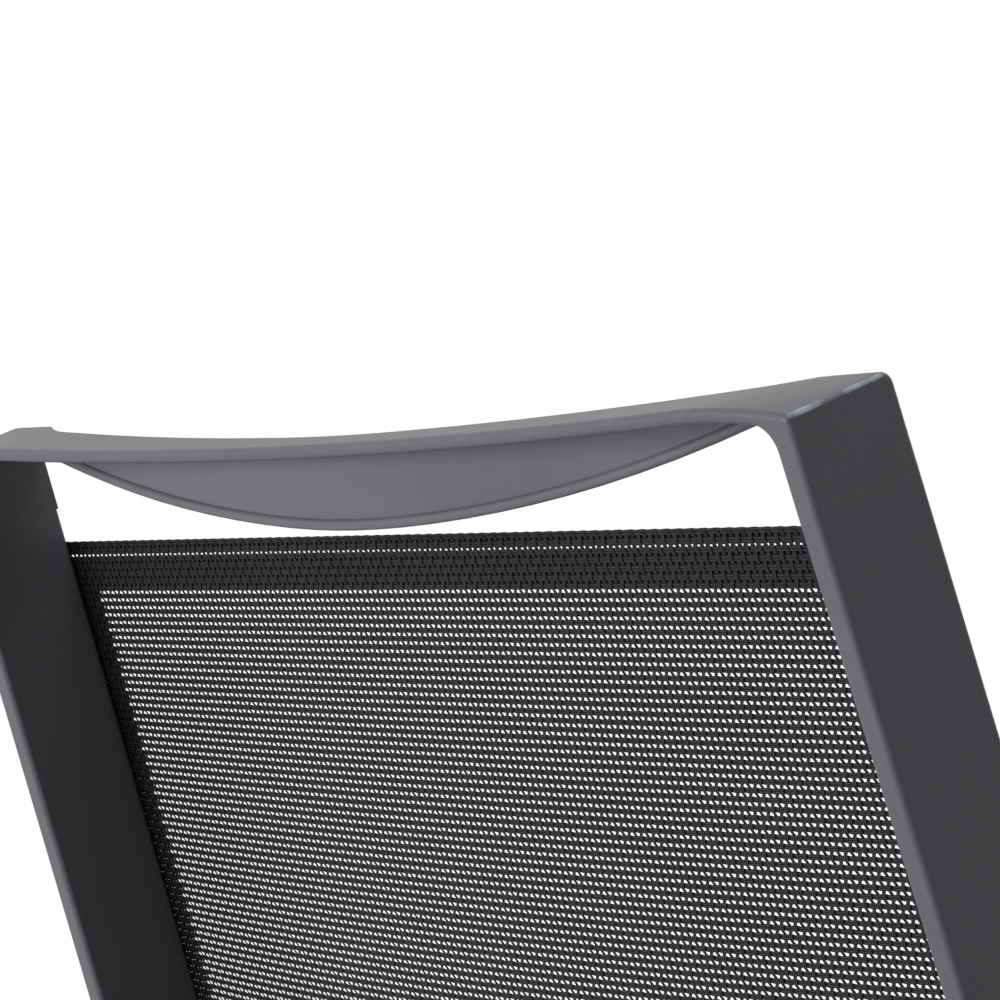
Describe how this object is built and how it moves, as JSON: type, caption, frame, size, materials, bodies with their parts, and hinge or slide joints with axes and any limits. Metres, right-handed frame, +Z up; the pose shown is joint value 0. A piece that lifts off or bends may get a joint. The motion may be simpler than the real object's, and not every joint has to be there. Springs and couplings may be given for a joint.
{
  "type": "reclining sun lounger",
  "caption": "Reclining sun lounger: sling seat and adjustable sling backrest on a charcoal metal frame, with a curved top rail and a prop link in notched racks.",
  "frame": {"origin": "on the floor, under the middle of the base frame", "axes": "+Y runs to the head end, +Z up, +X to the left hand of somebody lying on it; the backrest is in its steepest position"},
  "size_m": [0.708, 1.904, 1.0305],
  "materials": {
    "frame_coat": "satin charcoal powder coat on aluminium extrusion",
    "casting_coat": "charcoal powder coat on cast aluminium, slightly rough, worn at sharp corners",
    "plate_coat": "satin charcoal powder coat on aluminium plate",
    "sling_fabric": "open plain weave of coated polyester yarn, charcoal black",
    "spline_cord": "dark plastic cord",
    "black_plastic": "black moulded plastic, fine grain",
    "bush_plastic": "dark nylon, smooth",
    "bolt_steel": "stainless steel, lightly brushed",
    "bare_aluminium": "bare aluminium"
  },
  "bodies": {
    "base": {"side_rail_left": "frame_coat", "side_rail_right": "frame_coat", "foot_rail": "frame_coat", "head_rail": "frame_coat", "calf_brace": "frame_coat", "thigh_brace": "frame_coat", "hip_brace": "frame_coat", "foot_leg_left": "frame_coat", "foot_leg_right": "frame_coat", "head_leg_left": "frame_coat", "head_leg_right": "frame_coat", "foot_stretcher": "frame_coat", "head_stretcher": "frame_coat", "foot_leg_shoe_left": "casting_coat", "foot_leg_shoe_right": "casting_coat", "head_leg_shoe_left": "casting_coat", "head_leg_shoe_right": "casting_coat", "rack_left": "plate_coat", "rack_right": "plate_coat", "seat_sling": "sling_fabric", "seat_spline_left": "spline_cord", "seat_spline_right": "spline_cord", "end_caps": "black_plastic", "foot_glide_left": "black_plastic", "foot_glide_right": "black_plastic", "head_glide_left": "black_plastic", "head_glide_right": "black_plastic", "frame_bolts": "bolt_steel", "stretcher_bolts": "bolt_steel", "shoe_screws": "bolt_steel", "hinge_bolt_left": "bolt_steel", "hinge_bolt_right": "bolt_steel", "hinge_washers": "bolt_steel", "hinge_nuts": "bolt_steel", "rack_screws": "bolt_steel", "frame_plugs": "bare_aluminium", "stretcher_plugs": "bare_aluminium"},
    "backrest": {"stile_left": "frame_coat", "stile_right": "frame_coat", "hinge_fitting_left": "casting_coat", "hinge_fitting_right": "casting_coat", "hinge_bushes": "bush_plastic", "top_rail": "casting_coat", "back_lower_bar": "frame_coat", "back_middle_bar": "frame_coat", "back_bar_plugs": "bare_aluminium", "back_bar_screws": "bolt_steel", "back_sling": "sling_fabric", "back_spline_left": "spline_cord", "back_spline_right": "spline_cord", "prop_bolt_left": "bolt_steel", "prop_bolt_right": "bolt_steel", "prop_spacers": "bare_aluminium", "prop_nuts": "bolt_steel"},
    "prop": {"prop_arm_left": "plate_coat", "prop_arm_right": "plate_coat", "prop_bushes": "bush_plastic", "prop_rod": "bolt_steel", "rod_sleeves": "bush_plastic"}
  },
  "joints": [
    {"name": "backrest_hinge", "type": "hinge", "parent": "base", "child": "backrest", "pos_m": [0, 0.163, 0.31], "axis": [1, 0, 0], "range_deg": [-70.2, 0]},
    {"name": "prop_pivot", "type": "hinge", "parent": "backrest", "child": "prop", "pos_m": [0, 0.29699, 0.62314], "axis": [1, 0, 0], "range_deg": [0, 140.4]}
  ],
  "couplings": [
    {"joint": "prop_pivot", "follows": "backrest_hinge", "ratio": -2}
  ]
}
